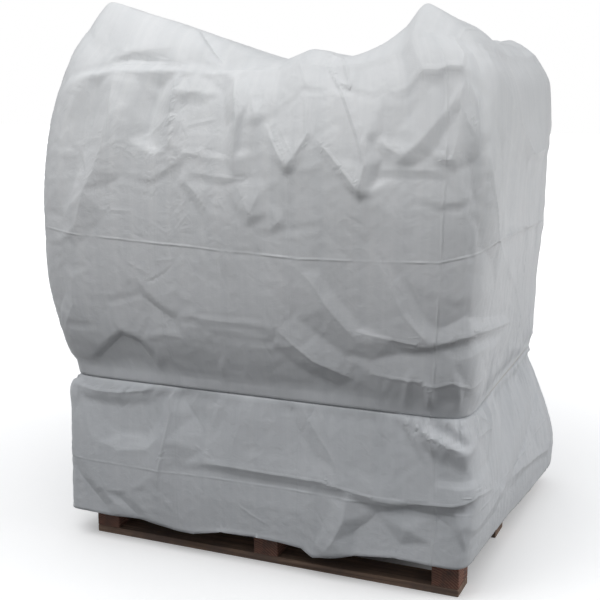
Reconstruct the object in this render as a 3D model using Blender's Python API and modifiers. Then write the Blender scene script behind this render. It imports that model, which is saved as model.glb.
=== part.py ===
"""A pallet of sacks under a white fabric cover that is drawn in at a waist and left loose below it.

Metres, +Z up. The origin is the middle of the pallet's underside, X runs along the pallet's
1200 mm side, and the side seen most squarely in the photo faces minus Y.
"""

import math

import bmesh
import bpy
from mathutils import Vector, geometry

# Pallet, a nine-block type with runners along X
PALLET_LENGTH = 1.2
PALLET_DEPTH = 1.0
BOARD = 0.022
BOARD_WIDTH = 0.1
BLOCK_WIDTH = 0.08
BLOCK_DEPTH = 0.1
BLOCK_HEIGHT = 0.078
DECK_BOARDS = 7
GAP = 0.0003
BOARD_EDGE = 0.002
PALLET_TOP = 3 * BOARD + BLOCK_HEIGHT + 3 * GAP

# Load
LAYERS = 9
LOAD_TOP = 1.486
SACK_EDGE = 0.045
SEAM_OVERLAP = 0.012
LOOSE_EDGE = 0.013
LOAD_CLEARANCE = 0.036
TOP_LAYER_INSET = 0.06

# Cover
COVER_THICKNESS = 0.004
COLUMNS_X = 10
COLUMNS_Y = 8
CROWN_LEVEL = LOAD_TOP + GAP + COVER_THICKNESS
RIM_DROP = 0.025
HEM_WAVE = 0.014

# Tie cord
CORD_RADIUS = 0.003
CORD_CLEARANCE = 0.0019
CORD_STEP = 0.022
RAYS = 720
WAIST_HEIGHT = 0.535

# Each level of the cover from the hem up: height, reach to front, right at the front corner,
# right at the back corner, back and left, and how square the outline is
LEVELS = (
    (0.072, 0.550, 0.634, 0.676, 0.580, 0.688, 24),
    (0.200, 0.552, 0.646, 0.696, 0.580, 0.692, 22),
    (0.300, 0.550, 0.648, 0.682, 0.560, 0.690, 20),
    (0.420, 0.542, 0.636, 0.634, 0.535, 0.692, 18),
    (0.500, 0.532, 0.620, 0.596, 0.515, 0.680, 16),
    (WAIST_HEIGHT, 0.520, 0.605, 0.574, 0.500, 0.652, 16),
    (0.570, 0.538, 0.625, 0.600, 0.512, 0.676, 14),
    (0.660, 0.575, 0.645, 0.608, 0.525, 0.712, 13),
    (0.800, 0.602, 0.660, 0.616, 0.535, 0.746, 12),
    (0.970, 0.615, 0.672, 0.632, 0.540, 0.752, 12),
    (1.170, 0.612, 0.676, 0.638, 0.540, 0.746, 12),
    (1.320, 0.588, 0.672, 0.640, 0.535, 0.720, 12),
    (1.410, 0.555, 0.650, 0.625, 0.515, 0.692, 10),
)
RIM_REACH = (0.520, 0.610, 0.590, 0.480, 0.662, 8)

# Peaks that the loose sacks push up in the crown: X, Y, top height, spread inward along X,
# inward along Y, and outward
PEAKS = (
    (-0.520, -0.410, 1.735, 0.38, 0.34, 0.19),
    (0.440, -0.410, 1.720, 0.22, 0.50, 0.20),
    (0.500, 0.360, 1.590, 0.30, 0.60, 0.16),
    (-0.520, 0.360, 1.570, 0.30, 0.40, 0.17),
)


def clear_scene():
    for obj in list(bpy.data.objects):
        bpy.data.objects.remove(obj, do_unlink=True)


def new_collection(name):
    found = bpy.data.collections.new(name)
    bpy.context.scene.collection.children.link(found)
    return found


def material(name, colour, roughness):
    made = bpy.data.materials.new(name)
    made.use_nodes = True
    shader = made.node_tree.nodes["Principled BSDF"]
    shader.inputs["Base Color"].default_value = (*colour, 1)
    shader.inputs["Roughness"].default_value = roughness
    shader.inputs["Metallic"].default_value = 0
    made.diffuse_color = (*colour, 1)
    return made


def mesh_object(name, grown, finish, home):
    """Turns a bmesh into a named object in the home collection."""
    mesh = bpy.data.meshes.new(name)
    grown.to_mesh(mesh)
    grown.free()
    mesh.materials.append(finish)
    obj = bpy.data.objects.new(name, mesh)
    home.objects.link(obj)
    return obj


def box_into(grown, low, high):
    """Adds a box between two corners to the bmesh."""
    made = bmesh.ops.create_cube(grown, size=1)["verts"]
    size = [high[i] - low[i] for i in range(3)]
    centre = [(high[i] + low[i]) / 2 for i in range(3)]
    bmesh.ops.scale(grown, vec=size, verts=made)
    bmesh.ops.translate(grown, vec=centre, verts=made)
    return made


def timber(name, low, high, finish, home):
    """One sawn board or block with its edges just broken."""
    grown = bmesh.new()
    box_into(grown, low, high)
    bmesh.ops.bevel(grown, geom=grown.edges[:], offset=BOARD_EDGE, segments=1, affect="EDGES")
    return mesh_object(name, grown, finish, home)


def pallet(finish, block_finish, home):
    """Three runners, nine blocks, three cross boards and seven deck boards."""
    half_x, half_y = PALLET_LENGTH / 2, PALLET_DEPTH / 2
    row_y = (-half_y + BLOCK_DEPTH / 2, 0, half_y - BLOCK_DEPTH / 2)
    row_x = (-half_x + BLOCK_WIDTH / 2, 0, half_x - BLOCK_WIDTH / 2)
    for number, y in enumerate(row_y, 1):
        low = (-half_x, y - BOARD_WIDTH / 2, 0)
        timber(f"runner_{number}", low, (half_x, y + BOARD_WIDTH / 2, BOARD), finish, home)
    floor = BOARD + GAP
    for row, y in enumerate(row_y, 1):
        for column, x in enumerate(row_x, 1):
            low = (x - BLOCK_WIDTH / 2, y - BLOCK_DEPTH / 2, floor)
            high = (x + BLOCK_WIDTH / 2, y + BLOCK_DEPTH / 2, floor + BLOCK_HEIGHT)
            timber(f"block_{row}{column}", low, high, block_finish, home)
    floor += BLOCK_HEIGHT + GAP
    for number, x in enumerate(row_x, 1):
        low = (x - BLOCK_WIDTH / 2, -half_y, floor)
        timber(f"cross_board_{number}", low, (x + BLOCK_WIDTH / 2, half_y, floor + BOARD), finish, home)
    floor += BOARD + GAP
    pitch = (PALLET_DEPTH - BOARD_WIDTH) / (DECK_BOARDS - 1)
    for number in range(DECK_BOARDS):
        y = -half_y + number * pitch
        low = (-half_x, y, floor)
        timber(f"deck_board_{number + 1}", low, (half_x, y + BOARD_WIDTH, floor + BOARD), finish, home)


def reach_at(height):
    """The cover's five reaches at a height, between the levels above and below."""
    below = [level for level in LEVELS if level[0] <= height][-1]
    above = [level for level in LEVELS if level[0] > height] or [LEVELS[-1]]
    span = above[0][0] - below[0]
    share = (height - below[0]) / span if span else 0
    return [below[i] + share * (above[0][i] - below[i]) for i in range(1, 6)]


def narrowest(bottom, top):
    """The smallest reach each way over a band of heights."""
    heights = [bottom + (top - bottom) * step / 8 for step in range(9)]
    return [min(reach[side] for reach in map(reach_at, heights)) for side in range(5)]


def sack_layer(number, finish, home):
    """One layer of five sacks, three one way and two the other, as one solid with the seams as grooves."""
    depth = (LOAD_TOP - PALLET_TOP) / LAYERS
    bottom = PALLET_TOP + GAP + (number - 1) * depth
    top = bottom + depth - GAP
    room = [side - LOAD_CLEARANCE for side in narrowest(bottom, top)]
    if number == LAYERS:
        room = [side - TOP_LAYER_INSET for side in RIM_REACH[:5]]
    front, right_front, right_back, back, left = room
    right = min(right_front, right_back)
    seam_y = -front + (front + back) * (0.6 if number % 2 else 0.4)
    three_y, two_y = ((-front, seam_y), (seam_y, back)) if number % 2 else ((seam_y, back), (-front, seam_y))
    pieces = []
    for count, (low_y, high_y) in ((3, three_y), (2, two_y)):
        width = (right + left) / count
        for place in range(count):
            low_x = -left + place * width
            low = [low_x, low_y, bottom]
            high = [low_x + width, high_y, top]
            if place:
                low[0] -= SEAM_OVERLAP / 2
            if place < count - 1:
                high[0] += SEAM_OVERLAP / 2
            if low_y > -front:
                low[1] -= SEAM_OVERLAP / 2
            if high_y < back:
                high[1] += SEAM_OVERLAP / 2
            grown = bmesh.new()
            box_into(grown, low, high)
            bmesh.ops.bevel(
                grown,
                geom=grown.edges[:],
                offset=SACK_EDGE * (1 - 0.04 * len(pieces)),
                segments=2,
                profile=0.5,
                affect="EDGES",
            )
            pieces.append(mesh_object(f"sack_layer_{number}_{len(pieces)}", grown, finish, home))
    return joined(pieces, f"sack_layer_{number}")


def joined(pieces, name):
    """Unites the pieces into the first one and gives it the name."""
    whole = pieces[0]
    whole.name = name
    for piece in pieces[1:]:
        union = whole.modifiers.new("union", "BOOLEAN")
        union.operation = "UNION"
        union.solver = "EXACT"
        union.object = piece
        bpy.context.view_layer.objects.active = whole
        bpy.ops.object.modifier_apply(modifier=union.name)
        bpy.data.objects.remove(piece, do_unlink=True)
    grown = bmesh.new()
    grown.from_mesh(whole.data)
    bmesh.ops.remove_doubles(grown, verts=grown.verts, dist=0.0004)
    bmesh.ops.dissolve_degenerate(grown, edges=grown.edges, dist=0.0002)
    bmesh.ops.triangulate(grown, faces=grown.faces)
    grown.to_mesh(whole.data)
    grown.free()
    return whole


def loose_sack(name, centre, size, rise, finish, home):
    """A sack lying on the top layer, thicker toward the outer corner; rise gives its height at each end."""
    grown = bmesh.new()
    floor = LOAD_TOP + GAP
    low = (centre[0] - size[0] / 2, centre[1] - size[1] / 2, floor)
    high = (centre[0] + size[0] / 2, centre[1] + size[1] / 2, floor + 1)
    for corner in box_into(grown, low, high):
        if corner.co.z > floor + 0.5:
            outer = corner.co.x * centre[0] > centre[0] ** 2
            corner.co.z = floor + rise[0 if outer else 1]
    bmesh.ops.bevel(grown, geom=grown.edges[:], offset=LOOSE_EDGE, segments=2, profile=0.5, affect="EDGES")
    bmesh.ops.triangulate(grown, faces=grown.faces)
    return mesh_object(name, grown, finish, home)


def rounded_square(across, along, reach):
    """Moves a point on the edge of the unit square onto the level's rounded outline."""
    front, right_front, right_back, back, left, power = reach
    curve = (abs(across) ** power + abs(along) ** power) ** (-1 / power)
    right = right_front + (right_back - right_front) * (along + 1) / 2
    x = across * curve * (right if across > 0 else left)
    y = along * curve * (back if along > 0 else front)
    return x, y


def crowded(place):
    """Draws the columns toward the corners, so that the corners stay crisp."""
    return math.sin(place * math.pi / 2)


def crown_height(x, y, at_rim):
    """Height of the cover's top: flat over the top layer, lower at the rim, with the peaks added."""
    height = CROWN_LEVEL - (RIM_DROP if at_rim else 0)
    for peak_x, peak_y, top, inward_x, inward_y, outward in PEAKS:
        spread_x = outward if x * peak_x > peak_x**2 else inward_x
        spread_y = outward if y * peak_y > peak_y**2 else inward_y
        away = math.hypot((x - peak_x) / spread_x, (y - peak_y) / spread_y)
        height = max(height, CROWN_LEVEL + (top - CROWN_LEVEL) * max(0, 1 - away) ** 0.8)
    return height


def cover(finish, home):
    """The open-bottomed cover: a grid for the crown, drawn down level by level, then smoothed and thickened."""
    grown = bmesh.new()
    bmesh.ops.create_grid(grown, x_segments=COLUMNS_X, y_segments=COLUMNS_Y, size=1)
    for vert in grown.verts:
        across, along = crowded(vert.co.x), crowded(vert.co.y)
        ring = max(abs(across), abs(along))
        share = (across / ring, along / ring) if ring > 1e-6 else (1, 0)
        x, y = rounded_square(*share, RIM_REACH)
        x, y = x * ring, y * ring
        vert.co = (x, y, crown_height(x, y, ring > 0.95))
    rim = [edge for edge in grown.edges if edge.is_boundary]
    places = {}
    for vert in {vert for edge in rim for vert in edge.verts}:
        column, row = vert.index % (COLUMNS_X + 1), vert.index // (COLUMNS_X + 1)
        places[vert] = (crowded(2 * column / COLUMNS_X - 1), crowded(2 * row / COLUMNS_Y - 1))
    for height, *reach in reversed(LEVELS):
        made = bmesh.ops.extrude_edge_only(grown, edges=rim)["geom"]
        rim = [piece for piece in made if isinstance(piece, bmesh.types.BMEdge) and piece.is_boundary]
        fresh = [piece for piece in made if isinstance(piece, bmesh.types.BMVert)]
        lower = {}
        for vert in fresh:
            above = [edge.other_vert(vert) for edge in vert.link_edges if edge.other_vert(vert) in places]
            across, along = places[above[0]]
            lower[vert] = (across, along)
            x, y = rounded_square(across, along, reach)
            wave = HEM_WAVE * math.sin(13.4 * (x - y)) if height < 0.1 else 0
            vert.co = (x, y, height + wave)
        places = lower
    bmesh.ops.recalc_face_normals(grown, faces=grown.faces)
    obj = mesh_object("cover", grown, finish, home)
    smooth = obj.modifiers.new("smooth", "SUBSURF")
    smooth.levels = smooth.render_levels = 1
    wall = obj.modifiers.new("wall", "SOLIDIFY")
    wall.thickness = COVER_THICKNESS
    wall.offset = -1
    return obj


def tie_cord(around, finish, home):
    """The cord that draws the cover in: it touches the cover's corners and runs straight between them."""
    depsgraph = bpy.context.evaluated_depsgraph_get()
    evaluated = around.evaluated_get(depsgraph)
    touched = []
    for step in range(RAYS):
        turn = 2 * math.pi * step / RAYS
        outward = Vector((math.cos(turn), math.sin(turn), 0))
        for lift in (-CORD_RADIUS, 0, CORD_RADIUS):
            start = outward * 2 + Vector((0, 0, WAIST_HEIGHT + lift))
            found, place, _, _ = evaluated.ray_cast(start, -outward)
            if found:
                touched.append(place.xy)
    hull = [touched[0]]
    for index in geometry.convex_hull_2d(touched):
        if (touched[index] - hull[-1]).length > CORD_STEP:
            hull.append(touched[index])
    hull = hull[1:]
    centre_line = []
    for index, here in enumerate(hull):
        before, after = hull[index - 1], hull[(index + 1) % len(hull)]
        first, second = (here - before).normalized(), (after - here).normalized()
        outward = Vector((first.y + second.y, -first.x - second.x)).normalized()
        centre_line.append(here + outward * (CORD_RADIUS + CORD_CLEARANCE))
    curve = bpy.data.curves.new("tie_cord", "CURVE")
    curve.dimensions = "3D"
    curve.bevel_depth = CORD_RADIUS
    curve.bevel_resolution = 2
    path = curve.splines.new("POLY")
    path.points.add(len(centre_line) - 1)
    for point, place in zip(path.points, centre_line):
        point.co = (place.x, place.y, WAIST_HEIGHT, 1)
    path.use_cyclic_u = True
    curve.materials.append(finish)
    obj = bpy.data.objects.new("tie_cord", curve)
    home.objects.link(obj)
    print("tie cord points", len(centre_line))
    return obj


clear_scene()
load = new_collection("pallet_of_sacks")
pallet(
    material("board_wood", (0.20, 0.14, 0.10), 0.85),
    material("block_wood", (0.26, 0.13, 0.09), 0.85),
    load,
)
sacking = material("sacking", (0.72, 0.70, 0.64), 0.7)
for layer in range(1, LAYERS + 1):
    sack_layer(layer, sacking, load)
loose_sack("loose_sack_left", (-0.38, -0.33), (0.34, 0.22), (0.10, 0.03), sacking, load)
loose_sack("loose_sack_right", (0.42, -0.31), (0.22, 0.26), (0.09, 0.03), sacking, load)
hood = cover(material("cover_fabric", (0.80, 0.80, 0.80), 0.75), load)
bpy.context.view_layer.update()
tie_cord(hood, material("cord", (0.74, 0.72, 0.68), 0.8), load)
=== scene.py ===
"""The looks of a pallet of sacks under a loose white fabric cover, from the floor up.

Metres, +Z up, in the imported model's own frame. The side seen most squarely in the photo faces minus Y.
"""

import math

import bmesh
import bpy
import numpy as np
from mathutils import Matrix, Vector
from mathutils.bvhtree import BVHTree
from mathutils.geometry import delaunay_2d_cdt


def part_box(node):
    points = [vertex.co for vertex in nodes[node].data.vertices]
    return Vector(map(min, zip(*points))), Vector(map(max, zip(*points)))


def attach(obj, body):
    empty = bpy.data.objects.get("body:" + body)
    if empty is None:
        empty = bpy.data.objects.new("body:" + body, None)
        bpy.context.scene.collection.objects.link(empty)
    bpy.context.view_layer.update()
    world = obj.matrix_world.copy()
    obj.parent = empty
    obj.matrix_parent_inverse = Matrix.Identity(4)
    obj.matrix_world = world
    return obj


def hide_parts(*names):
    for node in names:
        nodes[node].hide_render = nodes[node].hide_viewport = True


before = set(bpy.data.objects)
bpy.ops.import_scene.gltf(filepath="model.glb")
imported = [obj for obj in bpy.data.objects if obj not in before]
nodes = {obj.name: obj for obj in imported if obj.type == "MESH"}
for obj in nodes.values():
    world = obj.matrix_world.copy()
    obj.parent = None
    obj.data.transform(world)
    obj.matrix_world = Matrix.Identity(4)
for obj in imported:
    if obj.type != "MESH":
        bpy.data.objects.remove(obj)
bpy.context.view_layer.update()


# ---- Runners, cross boards and deck boards ----
# Rough-sawn softwood boards, grey-brown from weather and yard dirt. The runners lie flat on the floor
# along X, the cross boards lie across the blocks, and the deck boards carry the sacks.

def add(tree, kind, inputs=None, **settings):
    """One shader node. The inputs are numbers, colours or the sockets that feed them."""
    made = tree.nodes.new("ShaderNode" + kind)
    for name, value in settings.items():
        setattr(made, name, value)
    for name, value in (inputs or {}).items():
        if isinstance(value, bpy.types.NodeSocket):
            tree.links.new(value, made.inputs[name])
        else:
            made.inputs[name].default_value = value
    return made


def ramp(tree, feed, *stops):
    """A colour ramp; each stop is its place and its colour."""
    made = add(tree, "ValToRGB", {"Fac": feed})
    band = made.color_ramp
    while len(band.elements) < len(stops):
        band.elements.new(0.5)
    for element, (place, colour) in zip(band.elements, stops):
        element.position = place
        element.color = (*colour, 1)
    return made.outputs["Color"]


def new_group(name, inputs, outputs):
    """An empty node group with named sockets, and its input and output nodes."""
    tree = bpy.data.node_groups.new(name, "ShaderNodeTree")
    for socket, kind, value in inputs:
        made = tree.interface.new_socket(socket, in_out="INPUT", socket_type="NodeSocket" + kind)
        if value is not None:
            made.default_value = value
    for socket, kind in outputs:
        tree.interface.new_socket(socket, in_out="OUTPUT", socket_type="NodeSocket" + kind)
    return tree, tree.nodes.new("NodeGroupInput").outputs, tree.nodes.new("NodeGroupOutput").inputs


def new_finish(name, roughness):
    """An empty material; returns it, its tree and its Principled shader."""
    made = bpy.data.materials.new(name)
    made.use_nodes = True
    shader = made.node_tree.nodes["Principled BSDF"]
    shader.inputs["Roughness"].default_value = roughness
    return made, made.node_tree, shader


def dress(name, finish):
    """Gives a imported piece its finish."""
    for slot in nodes[name].material_slots:
        slot.material = finish


# The grain group reads metres with X along the board: long soft streaks, saw marks across, and stains
grain, given, out = new_group(
    "sawn grain",
    [("Along", "Vector", None), ("Saw Marks", "Float", 0.3)],
    [("Streaks", "Float"), ("Stain", "Float"), ("Height", "Float")],
)
drawn = add(grain, "Mapping", {"Vector": given["Along"], "Scale": (2.2, 60, 60)})
streaks = add(grain, "TexNoise", {"Vector": drawn.outputs["Vector"], "Scale": 1, "Detail": 5,
                                  "Roughness": 0.6, "Distortion": 0.6})
sawn = add(grain, "Mapping", {"Vector": given["Along"], "Scale": (190, 9, 9)})
marks = add(grain, "TexNoise", {"Vector": sawn.outputs["Vector"], "Scale": 1, "Detail": 2,
                                "Roughness": 0.5})
stain = add(grain, "TexNoise", {"Vector": given["Along"], "Scale": 6.5, "Detail": 4, "Roughness": 0.62})
cut = add(grain, "Math", {0: marks.outputs["Fac"], 1: given["Saw Marks"]}, operation="MULTIPLY")
rough = add(grain, "Math", {0: streaks.outputs["Fac"], 1: cut.outputs[0]}, operation="ADD")
grain.links.new(streaks.outputs["Fac"], out["Streaks"])
grain.links.new(stain.outputs["Fac"], out["Stain"])
grain.links.new(rough.outputs[0], out["Height"])


def timber_finish(name, turn, dark, middle, light, stain_colour):
    """Weathered sawn wood, with the grain turned about Z to run along the board."""
    made, tree, shader = new_finish(name, 0.85)
    place = add(tree, "TexCoord").outputs["Object"]
    along = add(tree, "Mapping", {"Vector": place, "Rotation": (0, 0, turn)})
    wood = add(tree, "Group", node_tree=grain)
    tree.links.new(along.outputs["Vector"], wood.inputs["Along"])
    colour = ramp(tree, wood.outputs["Streaks"], (0.3, dark), (0.52, middle), (0.72, light))
    spread = ramp(tree, wood.outputs["Stain"], (0.42, (0, 0, 0)), (0.66, (1, 1, 1)))
    weathered = add(tree, "MixRGB", {"Fac": spread, "Color1": colour, "Color2": (*stain_colour, 1)})
    tree.links.new(weathered.outputs["Color"], shader.inputs["Base Color"])
    bump = add(tree, "Bump", {"Strength": 0.7, "Distance": 0.0015, "Height": wood.outputs["Height"]})
    tree.links.new(bump.outputs["Normal"], shader.inputs["Normal"])
    return made


runner_wood = timber_finish(
    "runner wood", 0, (0.11, 0.07, 0.05), (0.26, 0.17, 0.12), (0.42, 0.29, 0.21), (0.15, 0.105, 0.085)
)
across_wood = timber_finish(
    "cross board wood", math.pi / 2, (0.09, 0.06, 0.045), (0.2, 0.14, 0.1), (0.34, 0.25, 0.18),
    (0.12, 0.09, 0.07),
)
for name in nodes:
    if name.startswith(("runner", "deck_board")):
        dress(name, runner_wood)
    elif name.startswith("cross_board"):
        dress(name, across_wood)


# ---- Blocks ----
# Nine sawn softwood blocks nailed between the runners and the cross boards. Their wood is redder
# than the boards', and damp has darkened the end grain in patches.

ring, given, out = new_group(
    "end grain",
    [("Place", "Vector", None)],
    [("Rings", "Float"), ("Stain", "Float"), ("Height", "Float")],
)
bent = add(ring, "TexNoise", {"Vector": given["Place"], "Scale": 9, "Detail": 2})
pushed = add(ring, "VectorMath", {0: bent.outputs["Color"], "Scale": 0.03}, operation="SCALE")
moved = add(ring, "VectorMath", {0: given["Place"], 1: pushed.outputs[0]}, operation="ADD")
years = add(ring, "TexWave", {"Vector": moved.outputs[0], "Scale": 42, "Distortion": 2.5, "Detail": 2,
                              "Detail Scale": 1.4},
            wave_type="RINGS", rings_direction="Y", wave_profile="SAW")
fibre = add(ring, "TexNoise", {"Vector": given["Place"], "Scale": 240, "Detail": 3, "Roughness": 0.65})
damp = add(ring, "TexNoise", {"Vector": given["Place"], "Scale": 17, "Detail": 3, "Roughness": 0.6})
both = add(ring, "Math", {0: years.outputs["Fac"], 1: 0.6, 2: fibre.outputs["Fac"]},
           operation="MULTIPLY_ADD")
ring.links.new(years.outputs["Fac"], out["Rings"])
ring.links.new(damp.outputs["Fac"], out["Stain"])
ring.links.new(both.outputs[0], out["Height"])


def block_finish(name, centre):
    """Reddish block wood with its rings about a centre low in the block."""
    made, tree, shader = new_finish(name, 0.85)
    place = add(tree, "TexCoord").outputs["Object"]
    own = add(tree, "Mapping", {"Vector": place, "Location": tuple(-c for c in centre)})
    wood = add(tree, "Group", node_tree=ring)
    tree.links.new(own.outputs["Vector"], wood.inputs["Place"])
    colour = ramp(tree, wood.outputs["Rings"], (0.1, (0.15, 0.06, 0.04)), (0.55, (0.25, 0.115, 0.078)),
                  (0.95, (0.34, 0.18, 0.125)))
    spread = ramp(tree, wood.outputs["Stain"], (0.45, (0, 0, 0)), (0.68, (1, 1, 1)))
    weathered = add(tree, "MixRGB", {"Fac": spread, "Color1": colour, "Color2": (0.09, 0.06, 0.05, 1)})
    tree.links.new(weathered.outputs["Color"], shader.inputs["Base Color"])
    bump = add(tree, "Bump", {"Strength": 0.7, "Distance": 0.0015, "Height": wood.outputs["Height"]})
    tree.links.new(bump.outputs["Normal"], shader.inputs["Normal"])
    return made


for name in sorted(nodes):
    if name.startswith("block"):
        low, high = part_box(name)
        centre = (low.x + 0.2 * (high.x - low.x), low.y, low.z - 0.03)
        dress(name, block_finish(name + " wood", centre))


# ---- Layers of sacks and the two loose sacks ----
# Filled sacks of woven plastic tape, laid in nine layers of five under the cover, and two part-filled
# ones on top under the peaks. Each layer is one solid with the seams between its sacks cut in.

weave, given, out = new_group(
    "plain weave",
    [("Flat", "Vector", None), ("Tape", "Float", 0.003)],
    [("Height", "Float"), ("Shade", "Float")],
)
parts = add(weave, "SeparateXYZ", {"Vector": given["Flat"]})
turn = add(weave, "Math", {0: math.pi, 1: given["Tape"]}, operation="DIVIDE")
waves = []
for axis in "XY":
    angle = add(weave, "Math", {0: parts.outputs[axis], 1: turn.outputs[0]}, operation="MULTIPLY")
    waves.append(add(weave, "Math", {0: angle.outputs[0]}, operation="SINE").outputs[0])
crossed = add(weave, "Math", {0: waves[0], 1: waves[1]}, operation="MULTIPLY")
raised = add(weave, "Math", {0: crossed.outputs[0], 1: 0.5, 2: 0.5}, operation="MULTIPLY_ADD")
uneven = add(weave, "TexNoise", {"Vector": given["Flat"], "Scale": 90, "Detail": 2})
# The raised tapes are lighter and the dips between them darker: painted shade in the weave, over an uneven
# random tone
shade = add(weave, "Math", {0: raised.outputs[0], 1: uneven.outputs["Fac"]}, operation="MULTIPLY")
weave.links.new(raised.outputs[0], out["Height"])
weave.links.new(shade.outputs[0], out["Shade"])

sacking, tree, shader = new_finish("sack weave", 0.62)
place = add(tree, "TexCoord").outputs["Object"]
spun = add(tree, "Mapping", {"Vector": place, "Rotation": (0.6155, 0, math.pi / 4)})
cloth = add(tree, "Group", {}, node_tree=weave)
tree.links.new(spun.outputs["Vector"], cloth.inputs["Flat"])
cloth.inputs["Tape"].default_value = 0.0035
# The sacks' colour carries the weave's painted shade in its dips
colour = ramp(tree, cloth.outputs["Shade"], (0.1, (0.52, 0.49, 0.42)), (0.7, (0.72, 0.69, 0.62)))
tree.links.new(colour, shader.inputs["Base Color"])
bump = add(tree, "Bump", {"Strength": 0.5, "Distance": 0.0008, "Height": cloth.outputs["Height"]})
tree.links.new(bump.outputs["Normal"], shader.inputs["Normal"])
for name in nodes:
    if name.startswith(("sack_layer", "loose_sack")):
        dress(name, sacking)


# ---- Cover ----
# One bag of thin white woven plastic sheet, open below, pulled down over the load and tied in at a
# waist. It was kept folded, so straight fold lines still cross it, and it hangs in swags from its top.

COLUMNS_X, COLUMNS_Y = 160, 104
# From the hem up: height, reach to front, right at the front corner, right at the back corner,
# back and left, and how square the outline is
OUTLINES = np.array((
    (0.060, 0.550, 0.634, 0.668, 0.580, 0.686, 24),
    (0.200, 0.552, 0.646, 0.670, 0.580, 0.688, 22),
    (0.300, 0.550, 0.648, 0.648, 0.560, 0.689, 20),
    (0.420, 0.542, 0.636, 0.606, 0.535, 0.692, 18),
    (0.500, 0.532, 0.620, 0.576, 0.515, 0.688, 16),
    (0.535, 0.520, 0.605, 0.574, 0.500, 0.652, 16),
    (0.570, 0.538, 0.625, 0.592, 0.512, 0.680, 14),
    (0.660, 0.575, 0.645, 0.600, 0.525, 0.708, 13),
    (0.800, 0.602, 0.660, 0.605, 0.535, 0.735, 12),
    (0.970, 0.615, 0.672, 0.618, 0.540, 0.738, 12),
    (1.170, 0.612, 0.676, 0.623, 0.540, 0.730, 12),
    (1.320, 0.588, 0.672, 0.630, 0.535, 0.702, 12),
    (1.410, 0.555, 0.650, 0.620, 0.515, 0.658, 10),
    (1.462, 0.520, 0.610, 0.590, 0.480, 0.625, 8),
))
WAIST = 0.535
TOP = 1.4903
# Peaks in the top: X, Y, height, spread inward along X, inward along Y, outward, and how hollow the
# slope is toward the middle
PEAKS = (
    (-0.560, -0.400, 1.680, 0.60, 0.42, 0.17, 1.05),
    (0.446, -0.410, 1.644, 0.26, 0.50, 0.26, 2.45),
    (0.540, 0.000, 1.560, 0.28, 0.95, 0.14, 1.0),
    (0.500, 0.360, 1.572, 0.30, 0.60, 0.24, 0.9),
    (-0.520, 0.360, 1.560, 0.30, 0.40, 0.18, 1.0),
    (0.125, -0.430, 1.520, 0.08, 0.30, 0.12, 1.0),
)
# The waist's section, row by row: nominal height, offset from the waist's reach, and real height.
# The upper lip hangs over the crease that the cord lies in
WAIST_SECTION = np.array((
    (0.5730, 0.0190, 0.5710),
    (0.5660, 0.0172, 0.5600),
    (0.5600, 0.0158, 0.5490),
    (0.5545, 0.0147, 0.5390),
    (0.5500, 0.0133, 0.5312),
    (0.5460, 0.0108, 0.5292),
    (0.5420, 0.0090, 0.5340),
    (0.5385, 0.0060, 0.5405),
    (0.5350, 0.0002, 0.5400),
    (0.5315, -0.0008, 0.5345),
    (0.5280, 0.0005, 0.5290),
    (0.5240, 0.0050, 0.5262),
    (0.5190, 0.0098, 0.5268),
    (0.5130, 0.0118, 0.5215),
    (0.5060, 0.0122, 0.5090),
))
# The hem's height along the front and the right, measured round from the middle of the front
HEM = np.array((
    (-0.75, 0.082), (-0.65, 0.088), (-0.56, 0.086), (-0.445, 0.092), (-0.298, 0.074), (-0.242, 0.073),
    (-0.138, 0.094), (-0.02, 0.098), (0.071, 0.095), (0.145, 0.089), (0.183, 0.066), (0.261, 0.078),
    (0.326, 0.096), (0.448, 0.109), (0.53, 0.106), (0.624, 0.104), (0.70, 0.112), (0.90, 0.112),
    (1.15, 0.104), (1.42, 0.083), (1.65, 0.074), (1.85, 0.080),
))


def reach(height):
    """The five reaches and the squareness at each height, on a smooth curve through the outlines."""
    z, table = OUTLINES[:, 0], OUTLINES[:, 1:]
    slope = np.gradient(table, z, axis=0)
    low = np.clip(np.searchsorted(z, height) - 1, 0, len(z) - 2)
    step = (z[low + 1] - z[low])[..., None]
    t = np.clip((height - z[low]) / (z[low + 1] - z[low]), 0, 1)[..., None]
    from_low = (2 * t**3 - 3 * t**2 + 1) * table[low] + (t**3 - 2 * t**2 + t) * step * slope[low]
    return from_low + (3 * t**2 - 2 * t**3) * table[low + 1] + (t**3 - t**2) * step * slope[low + 1]


def on_outline(u, v, sides):
    """Moves a point on the edge of the unit square onto the rounded outline."""
    power = sides[..., 5]
    curve = (np.abs(u) ** power + np.abs(v) ** power) ** (-1 / power)
    right = sides[..., 1] + (sides[..., 2] - sides[..., 1]) * (v + 1) / 2
    x = u * curve * np.where(u > 0, right, sides[..., 4])
    y = v * curve * np.where(v > 0, sides[..., 3], sides[..., 0])
    return np.stack((x, y), -1)


def ease(value, low, high):
    """Rises smoothly from 0 at low to 1 at high."""
    t = np.clip((value - low) / (high - low), 0, 1)
    return t * t * (3 - 2 * t)


def top_height(x, y):
    """Height of the cover's top: flat over the top layer of sacks, with the peaks added."""
    height = TOP + 0.012 * np.clip(1 - np.hypot(x / 0.6, y / 0.5), 0, 1)
    for peak_x, peak_y, top, inward_x, inward_y, outward, hollow in PEAKS:
        spread_x = np.where(x * peak_x > peak_x**2, outward, inward_x)
        spread_y = np.where(y * peak_y > peak_y**2, outward, inward_y)
        away = np.hypot((x - peak_x) / spread_x, (y - peak_y) / spread_y)
        # The slope is hollow along the front only, on the side toward the middle
        toward_middle = ease((peak_x - x) * np.sign(peak_x), 0, 0.05) * ease(-0.14 - y, 0, 0.2)
        curve = 1 + (hollow - 1) * toward_middle
        height = np.maximum(height, TOP + (top - TOP) * np.clip(1 - away, 0, 1) ** curve)
    return height


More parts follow.
